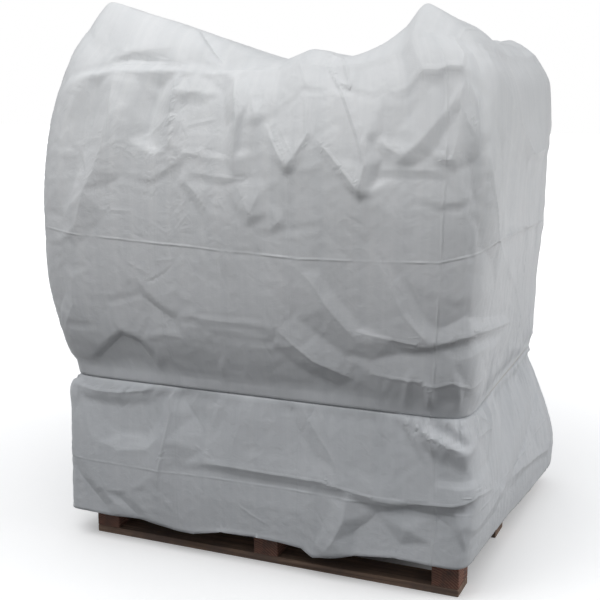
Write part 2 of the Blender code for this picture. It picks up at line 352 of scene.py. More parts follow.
# The sheet starts as a flat grid for the top. Its edge is drawn out row by row for the sides, and the
# unit square's X and Y stay with each column until every point is moved to its place
row_heights = np.concatenate((
    np.arange(1.455, 1.385, -0.008),
    np.arange(1.383, 0.582, -0.0113),
    WAIST_SECTION[:, 0],
    np.arange(0.498, 0.206, -0.0118),
    np.linspace(0.2, 0.06, 13),
    (0.0595, 0.0590, 0.0580),
))
grown = bmesh.new()
bmesh.ops.create_grid(grown, x_segments=COLUMNS_X, y_segments=COLUMNS_Y, size=1)
edge = [e for e in grown.edges if e.is_boundary]
for row in range(1, len(row_heights) + 1):
    made = bmesh.ops.extrude_edge_only(grown, edges=edge)["geom"]
    for piece in made:
        if isinstance(piece, bmesh.types.BMVert):
            piece.co.z = -row
    edge = [piece for piece in made if isinstance(piece, bmesh.types.BMEdge) and piece.is_boundary]
bmesh.ops.recalc_face_normals(grown, faces=grown.faces)


def in_rows(corners):
    """Where a point, edge or face comes in the sheet: by its row, then its Y, then its X."""
    x, y, z = sum((corner.co for corner in corners), Vector()) / len(corners)
    return 5000 * z + 500 * y + x


# The extrusion makes each row's faces in another order each run. Here they get a fixed one, so that the
# sheet always settles in the same way
grown.verts.sort(key=lambda point: in_rows([point]))
grown.edges.sort(key=lambda side: in_rows(side.verts))
grown.faces.sort(key=lambda face: in_rows(face.verts))
sheet_mesh = bpy.data.meshes.new("cover_sheet")
grown.to_mesh(sheet_mesh)
grown.free()

count = len(sheet_mesh.vertices)
flat = np.empty(count * 3, np.float32)
sheet_mesh.vertices.foreach_get("co", flat)
flat = flat.reshape(-1, 3).astype(float)
u, v, row = flat[:, 0], flat[:, 1], np.rint(-flat[:, 2]).astype(int)
ring_share = np.maximum(np.maximum(np.abs(u), np.abs(v)), 1e-6)
side_u, side_v = u / ring_share, v / ring_share
centre_point = ring_share < 1e-5
side_u[centre_point], side_v[centre_point] = 1, 0

# How far round the cover each column lies, in metres from the middle of the front
turn_of = np.select(
    (side_v <= -1 + 1e-6, side_u >= 1 - 1e-6, side_v >= 1 - 1e-6),
    (side_u, 2 + side_v, 4 - side_u), 6 - side_v,
)
walk = np.linspace(-1, 7, 1601)
lap = np.mod(walk + 1, 8)
walk_u = np.where(lap < 2, lap - 1, np.where(lap < 4, 1, np.where(lap < 6, 5 - lap, -1.0)))
walk_v = np.where(lap < 2, -1.0, np.where(lap < 4, lap - 3, np.where(lap < 6, 1, 7 - lap)))
walked = on_outline(walk_u, walk_v, reach(np.full(walk.shape, 0.97)))
lengths = np.concatenate(([0], np.cumsum(np.hypot(*np.diff(walked, axis=0).T))))
lengths -= np.interp(0, walk, lengths)
girth = lengths[-1] - lengths[0]
around = np.interp(turn_of, walk, lengths)
around = np.where(around > girth / 2, around - girth, around)

base = np.zeros((count, 3))
on_top = row == 0
rim_sides = np.broadcast_to(OUTLINES[-1, 1:], (count, 6))
rim_place = on_outline(side_u, side_v, rim_sides)
rim_height = top_height(rim_place[:, 0], rim_place[:, 1]) - 0.025
plan = rim_place * ring_share[:, None]
base[:, :2] = plan
base[:, 2] = top_height(plan[:, 0], plan[:, 1]) - 0.025 * np.clip((ring_share - 0.86) / 0.14, 0, 1) ** 2
level = np.where(on_top, 1.47 + (1 - ring_share) * 0.6, row_heights[np.maximum(row - 1, 0)])
wall = ~on_top
sides = reach(np.clip(level, 0.06, 1.462))
in_waist = wall & (level < WAIST_SECTION[0, 0] + 1e-6) & (level > WAIST_SECTION[-1, 0] - 1e-6)
waist_sides = reach(np.full(count, WAIST))
order = WAIST_SECTION[::-1]
offset = np.interp(level, order[:, 0], order[:, 1])
sides[in_waist] = waist_sides[in_waist]
sides[in_waist, :5] += offset[in_waist, None]
hem_wave = 0.080 + 0.011 * np.sin(4.1 * around) + 0.007 * np.sin(9.7 * around + 1)
hem_front = np.interp(around, HEM[:, 0], HEM[:, 1])
measured = ease(around, -0.95, -0.75) * (1 - ease(around, 1.7, 1.9))
hem = hem_wave + (hem_front - hem_wave) * measured
height = np.where(in_waist, np.interp(level, order[:, 0], order[:, 2]), level)
low_part = wall & (level <= 0.2)
height[low_part] = hem[low_part] + (level[low_part] - 0.06) / 0.14 * (0.2 - hem[low_part])
height += (rim_height - 1.465) * ease(level, 1.25, 1.462)
for turned, (inward, lift) in enumerate(((0.0016, -0.0012), (0.0034, 0.002), (0.0040, 0.026))):
    turned_row = row == len(row_heights) - 2 + turned
    sides[turned_row, :5] -= inward
    height[turned_row] = hem[turned_row] + lift
placed = on_outline(side_u, side_v, sides)
base[wall, :2] = placed[wall]
base[wall, 2] = height[wall]
sheet_mesh.vertices.foreach_set("co", base.astype(np.float32).ravel())

# The top's shape is relaxed, as cloth rounds off where it bends
grown = bmesh.new()
grown.from_mesh(sheet_mesh)
grown.verts.ensure_lookup_table()
upper = [grown.verts[i] for i in np.nonzero(level > 1.36)[0]]
for _ in range(3):
    bmesh.ops.smooth_vert(grown, verts=upper, factor=0.5, use_axis_x=True, use_axis_y=True, use_axis_z=True)
grown.normal_update()
base = np.array([vert.co[:] for vert in grown.verts])
outward = np.array([vert.normal[:] for vert in grown.verts])
grown.free()

# Creases seen in the photo: how sharp each is (0 is only a soft bend), and its points. A point is how
# far round the cover it lies from the middle of the front, its level on the cover, and how far it
# stands out (less than 0 lies back), all in mm. The sheet runs straight from crease to crease, as in
# folded paper
CREASES = (
    # shoulder and upper left
    (0, (-680, 1383, -3), (-606, 1409, -3), (-517, 1431, -5), (-416, 1444, -5), (-314, 1455, -5),
     (-221, 1469, -3), (-140, 1481, -3), (-29, 1493, -5), (58, 1493, -5), (131, 1493, -3)),
    (0.3, (-675, 1360, 3), (-598, 1394, 8), (-501, 1414, 11), (-399, 1425, 11), (-301, 1437, 9),
     (-210, 1446, 8), (-125, 1452, 8), (-55, 1452, 6)),
    (0.6, (-560, 1434, 0), (-498, 1447, -8), (-436, 1454, -11), (-369, 1461, -8), (-306, 1469, 0)),
    (0.3, (-514, 1448, 5), (-436, 1479, 8), (-349, 1497, 5)),
    (1, (-385, 1610, 0), (-213, 1523, -12), (-133, 1484, -6)),
    (0, (-374, 1579, 3), (-240, 1516, 9), (-166, 1483, 6)),
    (0.3, (-195, 1576, 5), (-92, 1529, 6), (-31, 1545, 0)),
    (0.4, (-488, 1391, 12), (-465, 1326, 18), (-470, 1251, 18), (-489, 1185, 17), (-524, 1117, 14),
     (-561, 1011, 6)),
    (0, (-548, 1379, -6), (-534, 1315, -15), (-538, 1242, -15), (-574, 1143, -12), (-612, 1043, -5)),
    (0, (-412, 1406, 6), (-405, 1342, 5), (-392, 1268, 2), (-401, 1167, 0)),
    (0, (-300, 1427, -3), (-322, 1398, -14), (-332, 1349, -20), (-324, 1293, -15), (-296, 1241, -5)),
    (0.8, (-277, 1423, 12), (-271, 1390, 14), (-260, 1334, 12), (-250, 1257, 9)),
    (0.4, (-257, 1427, 2), (-223, 1395, 8), (-185, 1399, 6), (-179, 1438, 3)),
    (0, (-231, 1366, -3), (-165, 1372, -2)),
    (0.8, (-295, 1234, 3), (-207, 1240, 5), (-130, 1225, 3), (-72, 1224, 2)),
    (0, (-286, 1208, 2), (-203, 1213, 2), (-128, 1202, 2)),
    (0.9, (-300, 1162, 2), (-219, 1213, 5)),
    (0, (-305, 1143, -2), (-258, 1168, -3), (-206, 1193, -2)),
    (0.8, (-174, 1183, 3), (-106, 1175, 3), (-40, 1170, 6), (4, 1165, 3)),
    (0, (-174, 1164, 0), (-104, 1152, 0), (-55, 1146, 2)),
    (0.6, (-194, 1159, 5), (-150, 1117, 5), (-118, 1074, 3)),
    (0, (-213, 1148, -3), (-176, 1100, -3), (-141, 1062, -2)),
    (0.5, (-73, 1436, 11), (-37, 1327, 18), (-38, 1220, 14)),
    (0.3, (-29, 1166, 5), (-8, 1117, 9), (15, 1075, 12), (38, 1120, 9), (49, 1174, 3)),
    (0, (-55, 1122, 2), (1, 1033, 3), (68, 1071, 3)),
    (0.3, (67, 1114, 3), (85, 1078, 6), (101, 1055, 8), (118, 1089, 3)),
    (0, (60, 1022, 0), (127, 1035, 0)),
    (0, (-102, 1403, -5), (-76, 1314, -8), (-79, 1246, -3)),
    # swags under the top
    (0.4, (-37, 1440, 2), (-1, 1388, 4), (21, 1335, 15)),
    (0.3, (25, 1424, 3), (43, 1377, 5), (21, 1335, 15)),
    (0, (-18, 1317, 4), (25, 1310, 6), (58, 1342, 5)),
    (0, (-20, 1248, 3), (26, 1243, 3)),
    (0, (66, 1424, 2), (101, 1353, 4), (117, 1281, 10), (125, 1205, 27)),
    (0.4, (50, 1321, 5), (85, 1258, 13), (125, 1205, 27)),
    (0, (37, 1306, 4), (73, 1241, 8), (118, 1184, 10), (151, 1195, 10)),
    (0, (67, 1146, 4), (126, 1101, 4), (177, 1146, 4)),
    (0.6, (160, 1402, 4), (178, 1288, 12), (151, 1244, 17), (125, 1205, 27)),
    (0, (197, 1283, 9), (170, 1231, 10), (151, 1195, 10)),
    (0.4, (130, 1483, 7), (151, 1439, 8), (167, 1406, 7)),
    (0, (131, 1398, 4), (177, 1399, 4)),
    (0, (203, 1491, 3), (232, 1408, 5), (266, 1317, 9), (302, 1228, 16), (336, 1149, 35)),
    (0.5, (206, 1280, 11), (248, 1239, 17), (295, 1191, 25), (336, 1149, 35)),
    (0, (193, 1266, 9), (237, 1219, 11), (284, 1170, 13), (336, 1125, 14), (364, 1145, 13)),
    (0, (226, 1133, 5), (285, 1066, 5), (353, 1010, 4), (416, 1092, 5)),
    (0.8, (211, 1499, 4), (277, 1388, 10), (324, 1284, 16), (346, 1217, 23), (336, 1149, 35)),
    (0, (233, 1505, 3), (295, 1386, 8), (344, 1291, 12), (368, 1217, 14), (364, 1145, 13)),
    (0, (387, 1371, 2), (412, 1281, 2), (428, 1180, 2)),
    (0.7, (196, 1505, 3), (232, 1529, 6), (276, 1505, 9), (295, 1411, 10), (261, 1426, 7), (231, 1456, 5)),
    (0, (332, 1476, 2), (319, 1393, 2), (255, 1408, 3)),
    # right part of the front and the ear
    (0.2, (595, 1371, 8), (568, 1340, 10), (536, 1315, 12), (488, 1275, 15), (445, 1243, 17)),
    (0.4, (378, 1288, 3), (404, 1261, 9), (445, 1243, 17)),
    (0, (359, 1276, 1), (390, 1232, 2), (444, 1207, 3), (486, 1225, 3)),
    (0, (527, 1367, 2), (475, 1340, 2), (428, 1315, 2), (389, 1302, 1)),
    (0, (588, 1327, 5), (562, 1305, 4)),
    (0, (534, 1269, 3), (510, 1245, 3), (486, 1225, 3)),
    (0.4, (551, 1298, 4), (546, 1273, 7), (550, 1239, 11), (572, 1236, 11), (580, 1277, 8), (586, 1309, 6)),
    (0, (543, 1213, 3), (583, 1211, 3), (602, 1257, 3)),
    (0.3, (373, 1204, 3), (437, 1206, 4), (502, 1209, 4), (543, 1204, 4)),
    (0, (374, 1188, 0), (438, 1187, 0), (503, 1189, 0), (543, 1188, 0)),
    (0.7, (479, 1437, 1), (496, 1393, 5), (534, 1391, 8), (565, 1399, 9), (598, 1400, 12), (615, 1425, 8),
     (612, 1455, 3), (605, 1489, 0)),
    (0, (495, 1377, 1), (533, 1372, 2), (563, 1383, 4), (586, 1383, 6)),
    (0.3, (593, 1526, 2), (540, 1480, -2), (495, 1439, -1)),
    (0.5, (603, 1386, 8), (586, 1349, 8), (603, 1318, 12), (629, 1286, 13)),
    (0.7, (612, 1383, 9), (633, 1343, 12), (635, 1310, 13), (629, 1286, 13)),
    (0, (563, 1348, 4), (580, 1308, 5), (609, 1259, 5), (636, 1240, 3)),
    (0, (640, 1385, 2), (670, 1346, 3), (674, 1293, 3), (636, 1240, 3)),
    (0, (657, 1431, -4), (649, 1367, -4), (738, 1281, -2)),
    (0, (648, 1439, -3), (803, 1430, -2), (1195, 1439, -2)),
    (0.5, (770, 1399, 3), (876, 1360, 8), (984, 1315, 13), (1204, 1222, 21), (1426, 1225, 15)),
    (0, (650, 1338, 0), (758, 1293, 2), (1054, 1215, 3)),
    (0, (1128, 1202, 6), (1493, 1180, 5)),
    (0.4, (665, 1259, 6), (678, 1209, 10), (695, 1156, 11), (768, 1021, 10), (914, 937, 6)),
    (0, (617, 1224, -2), (633, 1135, -5), (658, 1019, -3)),
    (0, (782, 1213, -4), (871, 1113, -6), (978, 1032, -4)),
    (0.9, (858, 1011, 5), (1200, 1004, 6), (1473, 987, 4)),
    (0, (882, 988, -1), (1217, 977, -1), (1457, 965, 0)),
    (0.4, (550, 1122, 3), (605, 1135, 3)),
    (0, (550, 1109, -1), (606, 1117, -1)),
    # middle and lower bulge
    (0.5, (-588, 852, 3), (-597, 773, 4), (-654, 700, 3)),
    (0, (-622, 898, -3), (-630, 806, -4), (-671, 741, -2)),
    (0.7, (-350, 818, -3), (-306, 784, -4), (-249, 750, -3)),
    (0, (-329, 829, 2), (-286, 798, 3), (-230, 767, 2)),
    (0.5, (-195, 767, 3), (-94, 761, 4), (0, 760, 2)),
    (0.6, (-300, 705, 3), (-222, 696, 3)),
    (0.5, (-629, 568, 0), (-526, 627, -6), (-450, 682, -10), (-397, 660, -10), (-371, 616, -8),
     (-357, 572, -2)),
    (0, (-656, 573, 4), (-536, 645, 5), (-445, 702, 5), (-378, 682, 4), (-344, 634, 3)),
    (0, (-587, 553, -2), (-461, 602, -11), (-401, 567, -4)),
    (0.3, (161, 928, 2), (208, 880, 5), (244, 829, 7), (289, 782, 7), (335, 738, 5)),
    (0, (217, 931, -1), (257, 878, -4), (303, 826, -5), (345, 778, -3)),
    (0.5, (80, 754, 3), (143, 705, 8), (197, 669, 12), (263, 645, 11), (324, 620, 5)),
    (0, (67, 703, -2), (118, 655, -5), (185, 616, -5), (256, 589, -3)),
    (0, (147, 790, -1), (212, 743, -3), (285, 696, -3)),
    (0.4, (411, 920, 3), (463, 828, 6), (534, 755, 9)),
    (0, (448, 933, -1), (503, 852, -4), (543, 800, -4)),
    (0.9, (321, 767, 4), (432, 754, 6), (541, 744, 8)),
    (0.2, (371, 687, -3), (456, 714, -6), (542, 727, -8), (600, 741, -7), (666, 751, -4)),
    (0.4, (559, 791, -4), (630, 829, -5), (1028, 761, -3)),
    (0.8, (557, 749, 5), (599, 764, 8), (680, 782, 10), (1082, 732, 7)),
    (0, (571, 728, -3), (637, 750, -5), (824, 734, -4)),
    (0.6, (366, 647, 4), (435, 642, 8), (518, 642, 11), (563, 631, 11), (606, 647, 13), (656, 624, 9),
     (744, 632, 4)),
    (0, (411, 593, 4), (491, 582, 5), (562, 575, 6), (620, 585, 6), (673, 584, 5)),
    (0.4, (601, 703, 2), (688, 723, 5), (960, 704, 3)),
    (0.2, (914, 937, 0), (1177, 810, 3), (1323, 694, 3)),
    # skirt
    (0.6, (-702, 498, 4), (-596, 486, 10), (-508, 489, 11), (-440, 501, 10), (-351, 524, 6)),
    (0, (-657, 461, -2), (-587, 451, -5), (-498, 451, -7), (-406, 463, -7), (-333, 485, -4)),
    (0.3, (-641, 417, 2), (-621, 351, 4), (-601, 288, 5), (-596, 176, 4)),
    (0.3, (-596, 329, 4), (-507, 310, 6), (-405, 323, 6), (-359, 364, 5)),
    (0, (-569, 395, -5), (-498, 368, -8), (-406, 370, -8), (-362, 419, -5)),
    (0.8, (-318, 519, 5), (-310, 450, 10), (-332, 360, 13), (-358, 263, 9), (-367, 189, 5)),
    (0.3, (-275, 502, -6), (-230, 447, -8), (-190, 396, -5), (-195, 346, -1)),
    (0, (-165, 502, -3), (-129, 446, -3), (-142, 390, -1)),
    (0.4, (-55, 506, 3), (-65, 439, 4), (-92, 371, 3)),
    (0.7, (-675, 225, -3), (-604, 135, -5), (-570, 96, -4)),
    (0.2, (-645, 250, 3), (-576, 167, 4), (-533, 113, 3)),
    (0.6, (-515, 143, -3), (-443, 71, -4)),
    (0, (-489, 165, 2), (-415, 96, 3)),
    (0.9, (-193, 307, 3), (-94, 308, 5), (41, 304, 6), (209, 303, 6), (269, 294, 6), (382, 280, 6),
     (478, 286, 6)),
    (0, (-188, 283, -3), (-92, 279, -4), (41, 275, -4), (204, 275, -4), (269, 266, -3)),
    (0.4, (138, 517, 4), (177, 465, 5), (225, 405, 6), (261, 345, 4)),
    (0, (104, 496, -3), (145, 429, -4), (192, 371, -3)),
    (0.3, (294, 279, 6), (285, 200, 10), (253, 123, 10), (228, 86, 8)),
    (0, (237, 252, -2), (214, 171, -3), (183, 100, -2)),
    (0.3, (311, 150, -8), (384, 233, -15), (469, 259, -16), (554, 251, -14), (601, 220, -8)),
    (0, (361, 61, -2), (462, 128, -10), (550, 153, -8)),
    (0.9, (369, 274, 5), (454, 274, 7), (547, 287, 8), (600, 289, 10), (678, 312, 8), (831, 284, 4)),
    (0, (553, 265, -4), (600, 266, -8), (657, 286, -4)),
    (0, (623, 223, 2), (650, 250, 3)),
    (0.9, (462, 524, 5), (496, 507, 11), (530, 491, 18), (583, 464, 24), (635, 438, 25)),
    (0, (452, 497, 1), (503, 451, 2), (551, 419, 3)),
    (0.6, (524, 537, 2), (573, 506, 0), (613, 483, 2), (644, 453, 6)),
    (0.5, (560, 555, 4), (607, 513, 13), (650, 467, 15)),
    (0.8, (658, 561, 5), (776, 499, 13), (854, 452, 15), (702, 463, 8)),
    (0.4, (923, 558, 6), (965, 473, 8), (876, 441, 5)),
    (0.4, (563, 418, 3), (604, 402, 1), (641, 384, 0), (715, 367, 0), (633, 357, -3), (569, 358, -1)),
    (0.3, (552, 340, 4), (615, 335, 6), (753, 343, 4)),
    (0.6, (1166, 476, -5), (1058, 365, -7), (952, 247, -5)),
    (0, (1262, 439, 4), (1171, 334, 5), (1052, 257, 4)),
    (0.6, (1686, 381, -3), (1426, 309, -6), (1065, 225, -4)),
    (0, (1570, 410, 3), (1327, 356, 4), (1177, 300, 3)),
    (0.7, (653, 214, 4), (955, 239, 7), (1239, 224, 7), (1621, 154, 5)),
    (0, (672, 194, -3), (1028, 203, -4), (1315, 187, -4), (1629, 122, -2)),
    (0.3, (438, 495, 3), (445, 427, 4), (437, 352, 2)),
    (0, (390, 502, -2), (395, 420, -3), (381, 338, -1)),
    (0.3, (305, 514, 3), (315, 439, 3), (306, 358, 2)),
)
creases = [
    (sharpness, *((s / 1000, z / 1000, high) for s, z, high in points)) for sharpness, *points in CREASES
]
lift = np.zeros(count)
spots = np.stack((around, level), -1)


def press(high, wide_left, wide_right, line):
    """Raises the sheet in a soft ridge along a line, or sinks it where high is below 0. Sizes in mm."""
    line = np.array(line, float)
    far = 3.2 * max(wide_left, wide_right) / 1000
    near = np.nonzero((spots > line.min(0) - far).all(1) & (spots < line.max(0) + far).all(1))[0]
    here = spots[near]
    steps = np.diff(line, axis=0)
    spans = np.hypot(*steps.T)
    best = np.full(len(near), 9.0)
    along, side = np.zeros(len(near)), np.zeros(len(near))
    gone = 0
    for start, step, span in zip(line, steps, spans):
        t = np.clip(((here - start) @ step) / span**2, 0, 1)
        off = here - start - t[:, None] * step
        away = np.hypot(*off.T)
        closer = away < best
        best = np.where(closer, away, best)
        along = np.where(closer, (gone + t * span) / spans.sum(), along)
        side = np.where(closer, step[0] * off[:, 1] - step[1] * off[:, 0], side)
        gone += span
    wide = np.where(side > 0, wide_left, wide_right) / 1000
    strength = np.sin(np.pi * np.clip(along, 0.04, 0.96)) ** 0.6
    lift[near] += high / 1000 * np.exp(-((best / wide) ** 2)) * strength


# Points without lift: how far apart they are, and how far they keep from a crease
REST_STEP, REST_CLEAR = 0.085, 0.05


def fold(lines, spots, first, last):
    """Lifts the sheet from first to last round the cover, in flat facets between the creases in lines.

    Away from the creases the sheet keeps its own shape: points without lift stand there, a step apart.
    """
    corners, heights, joins = [], [], []
    for _, *line in lines:
        for point in line:
            if point != line[0]:
                joins.append((len(corners) - 1, len(corners)))
            corners.append(point[:2])
            heights.append(point[2] / 1000)
    marked = np.array(corners)
    kept_off = np.concatenate((marked, [(marked[a] + marked[b]) / 2 for a, b in joins]))
    for s in np.arange(first, last, REST_STEP):
        for z in np.arange(0.03, 1.75, REST_STEP):
            if np.hypot(*(kept_off - (s, z)).T).min() > REST_CLEAR:
                corners.append((float(s), float(z)))
                heights.append(0.0)
    joined, _, facets, sources, _, _ = delaunay_2d_cdt([Vector(c) for c in corners], joins, [], 0, 1e-4)
    joined = np.array(joined)
    raised = np.zeros(len(joined))
    for i, source in enumerate(sources):
        found = [heights[k] for k in source]
        if not found:
            for a, b in joins:
                step = marked[b] - marked[a]
                t = np.clip((joined[i] - marked[a]) @ step / (step @ step), 0, 1)
                if np.hypot(*(marked[a] + t * step - joined[i])) < 0.001:
                    found.append(heights[a] + t * (heights[b] - heights[a]))
        raised[i] = np.mean(found)
    for facet in facets:
        (ax, ay), (bx, by), (cx, cy) = joined[list(facet)]
        near = np.nonzero((spots[:, 0] >= min(ax, bx, cx)) & (spots[:, 0] <= max(ax, bx, cx))
                          & (spots[:, 1] >= min(ay, by, cy)) & (spots[:, 1] <= max(ay, by, cy)))[0]
        x, y = spots[near].T
        whole = (bx - ax) * (cy - ay) - (cx - ax) * (by - ay)
        to_b = ((x - ax) * (cy - ay) - (cx - ax) * (y - ay)) / whole
        to_c = ((bx - ax) * (y - ay) - (x - ax) * (by - ay)) / whole
        within = (to_b >= 0) & (to_c >= 0) & (to_b + to_c <= 1)
        h = raised[list(facet)]
        lift[near[within]] = (h[0] + to_b * (h[1] - h[0]) + to_c * (h[2] - h[0]))[within]


# The back and the left side are out of sight. Their creases are the seen ones again, turned round the
# far corner and a little lower
far_spots = np.stack((np.where(around < 0, around + girth, around), level), -1)
far_creases = [
    (sharpness, *((3.83 - s, 0.985 * z, 0.85 * h) for s, z, h in points))
    for sharpness, *points in creases if all(-0.25 < s < 1.6 and z < 1.43 for s, z, h in points)
]
fold(far_creases, far_spots, 2.1, 4.2)
fold(creases, spots, -1.05, 1.75)

# Slanting folds all over the unseen sides
chance = np.random.default_rng(57)


def unseen():
    """A random place round the cover, on the back or the left side."""
    return 1.8 + chance.random() * (girth - 1.8 - 0.8)


def wrapped(s):
    """A place round the cover, from minus to plus half its girth."""
    return s - girth if s > girth / 2 else s


for _ in range(40):
    s, z = wrapped(unseen()), 0.15 + 1.2 * chance.random()
    size, slope = 0.05 + 0.10 * chance.random(), chance.normal(0, 0.9)
    dx, dz = size * math.sin(slope), size * math.cos(slope)
    press(chance.choice((-1, 1)) * (4 + 5 * chance.random()), 16 + 16 * chance.random(),
          16 + 16 * chance.random(), ((s - dx, z + dz), (s + 0.02 * chance.normal(), z), (s + dx, z - dz)))

# Short sharp creases from handling, most of them in the middle of the front's left half
scuffs = []
for i in range(420):
    s, z = wrapped(-0.75 + girth * chance.random()), 0.13 + 1.3 * chance.random()
    if i % 3 == 0:
        s, z = chance.normal(-0.25, 0.16), chance.normal(1.13, 0.13)
    size, slope = 0.015 + 0.05 * chance.random() ** 2, chance.normal(0, 1.1)
    dx, dz = size * math.sin(slope), size * math.cos(slope)
    high = chance.choice((-1, 1)) * (0.7 + 2.6 * chance.random())
    middle = s + 0.2 * size * chance.normal()
    scuffs.append((1.0, (s - dx, z + dz, high), (middle, z, high), (s + dx, z - dz, high)))

# Gathers where the tie draws the sheet in: few on the left of the front, many round the right corner
for _ in range(46):
    s, rise = 0.50 + 0.24 * chance.random(), 0.03 + 0.05 * chance.random()
    high = chance.choice((-1, 1)) * (4 + 5 * chance.random())
    spread = (s - 0.60) * 2.5 * rise + 0.1 * rise * chance.normal()
    scuffs.append((1.0, (s, 0.524, high), (s + spread, 0.524 - rise, high)))
for _ in range(150):
    s = -0.75 + girth * chance.random()
    tight = 1.0 if 0.45 < s < 1.9 else (0.35 if s < 0.45 else 0.7)
    s = wrapped(s)
    high = tight * (3 + 4 * chance.random())
    rise = 0.02 + 0.09 * chance.random() ** 2
    for start, end in ((0.560, 0.560 + rise), (0.515, 0.515 - rise)):
        wide_left, wide_right = 7 + 4 * chance.random(), 7 + 4 * chance.random()
        press(high, wide_left, wide_right, ((s, start), (s + 0.3 * rise * chance.normal(), end)))

# Slow unevenness all over, so that no stretch of the cloth is perfectly even
TABLE = chance.permutation(256)
GRADIENTS = chance.normal(size=(256, 3))
GRADIENTS /= np.linalg.norm(GRADIENTS, axis=1)[:, None]


def drift(points):
    """Smooth noise, about -0.5 to 0.5, one unit across."""
    cell = np.floor(points).astype(int)
    part = points - cell
    soft = part**3 * (part * (part * 6 - 15) + 10)
    total = np.zeros(len(points))
    for corner in np.ndindex(2, 2, 2):
        at = cell + corner
        pick = TABLE[(TABLE[(TABLE[at[:, 0] % 256] + at[:, 1]) % 256] + at[:, 2]) % 256]
        weight = np.prod(np.where(corner, soft, 1 - soft), axis=1)
        total += weight * ((part - corner) * GRADIENTS[pick]).sum(1)
    return total


bend = np.stack([drift(base * 5 + shift) for shift in (11, 37, 71)], -1) * 0.05
lift += 0.009 * drift(base * (3.2, 3.2, 2.4) + 5)
lift += 0.003 * drift((base + bend) * (8, 8, 5) + 19)
lift += 0.001 * (0.12 - np.abs(drift((base + bend) * (9, 9, 6) + 43)))

# A crease also leaves a sharp line in the sheet. How far each point is from the nearest crease, to its
# left or right, and the crease's height go with the mesh, and the finish draws the line from them
crease_off = np.full(count, 0.03)
crease_high = np.zeros(count)
for sharpness, *line in (*scuffs, *creases, *far_creases):
    if sharpness == 0:
        continue
    line = np.array(line)
    places = far_spots if line[0, 0] > 2 else spots
    spans = np.hypot(*np.diff(line[:, :2], axis=0).T)
    gone = 0
    for a, b, span in zip(line, line[1:], spans):
        low, high = np.minimum(a, b)[:2] - 0.03, np.maximum(a, b)[:2] + 0.03
        near = np.nonzero((places > low).all(1) & (places < high).all(1))[0]
        step, here = (b - a)[:2] / span, places[near] - a[:2]
        run = here @ step
        off = step[0] * here[:, 1] - step[1] * here[:, 0]
        end = np.minimum(gone + run, spans.sum() - gone - run)
        nearer = (run > -0.004) & (run < span + 0.004) & (np.abs(off) < np.abs(crease_off[near]))
        strength = np.clip((0.014 - np.abs(off)) / 0.005, 0, 1) * np.clip(end / 0.02, 0, 1)
        tall = np.interp(run, (0, span), (a[2], b[2]))
        crease_off[near[nearer]] = off[nearer]
        crease_high[near[nearer]] = (sharpness * strength * np.clip(tall / 10, -1, 1))[nearer]
        gone += span

# Nothing is raised inside the waist's crease or on the turned hem, and no fold is deeper than DEEPEST
DEEPEST = 0.055
lift = DEEPEST * np.tanh(lift / DEEPEST)
lift *= ease(np.abs(level - 0.538), 0.012, 0.034)
lift *= np.where(row < len(row_heights) - 2, 0.1 + 0.9 * ease(level, 0.055, 0.075), 0)
final = base + outward * lift[:, None]
sheet_mesh.vertices.foreach_set("co", final.astype(np.float32).ravel())
sheet_mesh.update()

# The UV map is the sheet laid flat, in metres, so that the weave and the fold lines follow the cloth
faces = len(sheet_mesh.polygons)
corners = np.empty(faces * 4, np.int32)
sheet_mesh.loops.foreach_get("vertex_index", corners)
corners = corners.reshape(-1, 4)
top_face = on_top[corners].all(1)
across = around[corners]
wraps = (across.max(1) - across.min(1) > girth / 2) & ~top_face
across = np.where(wraps[:, None] & (across < 0), across + girth, across)
down = level[corners]
flat_u = np.where(top_face[:, None], base[corners, 0], across)
# The load bows the fold line at the cover's middle up and down, and the pattern follows it
bow = np.interp(
    across, (-0.70, -0.56, 0.16, 0.55, 0.76, 1.49, 1.7), (0.035, 0.02, -0.01, 0.003, 0.052, 0.015, 0)
)
bowed = down - bow * np.exp(-(((down - 0.97) / 0.22) ** 2))
flat_v = np.where(top_face[:, None], base[corners, 1] + 2.2, bowed)
pattern = sheet_mesh.uv_layers.new(name="flat")
pattern.data.foreach_set("uv", np.stack((flat_u, flat_v), -1).astype(np.float32).ravel())
for name, values in (("crease_off", crease_off), ("crease_high", crease_high)):
    sheet_mesh.attributes.new(name, "FLOAT", "POINT").data.foreach_set("value", values.astype(np.float32))
for polygon in sheet_mesh.polygons:
    polygon.use_smooth = True
cover = bpy.data.objects.new("cover_sheet", sheet_mesh)
bpy.context.scene.collection.objects.link(cover)

# The sheet is a little slack. Let go for a few steps, held only softly, it buckles into small natural
# creases between the folds, and the crease of the waist stays where the cord holds it
SETTLING_STEPS = 7
held = cover.vertex_groups.new(name="held")
in_crease, at_hem = np.abs(final[:, 2] - 0.537) < 0.028, level < 0.1
hold = np.where(in_crease, 1.0, np.where(at_hem, 0.5, 0.35))
for strength in np.unique(hold):
    held.add(np.nonzero(hold == strength)[0].tolist(), float(strength), "REPLACE")
settling = cover.modifiers.new("settling", "CLOTH")
cloth = settling.settings
cloth.quality = 4
cloth.mass = 0.12
cloth.tension_stiffness = cloth.compression_stiffness = 30
cloth.shear_stiffness = 12
cloth.bending_stiffness = 0.15
cloth.vertex_group_mass = "held"
cloth.pin_stiffness = 0.6
cloth.shrink_min = -0.008
cloth.effector_weights.gravity = 0.3
settling.collision_settings.use_collision = False
settling.collision_settings.use_self_collision = False
for step in range(1, SETTLING_STEPS + 1):
    bpy.context.scene.frame_set(step)
settled = cover.evaluated_get(bpy.context.evaluated_depsgraph_get()).to_mesh()
moved = np.empty(count * 3, np.float32)
settled.vertices.foreach_get("co", moved)
cover.modifiers.remove(settling)
cover.vertex_groups.clear()
bpy.context.scene.frame_set(1)
sheet_mesh.vertices.foreach_set("co", moved)
sheet_mesh.update()

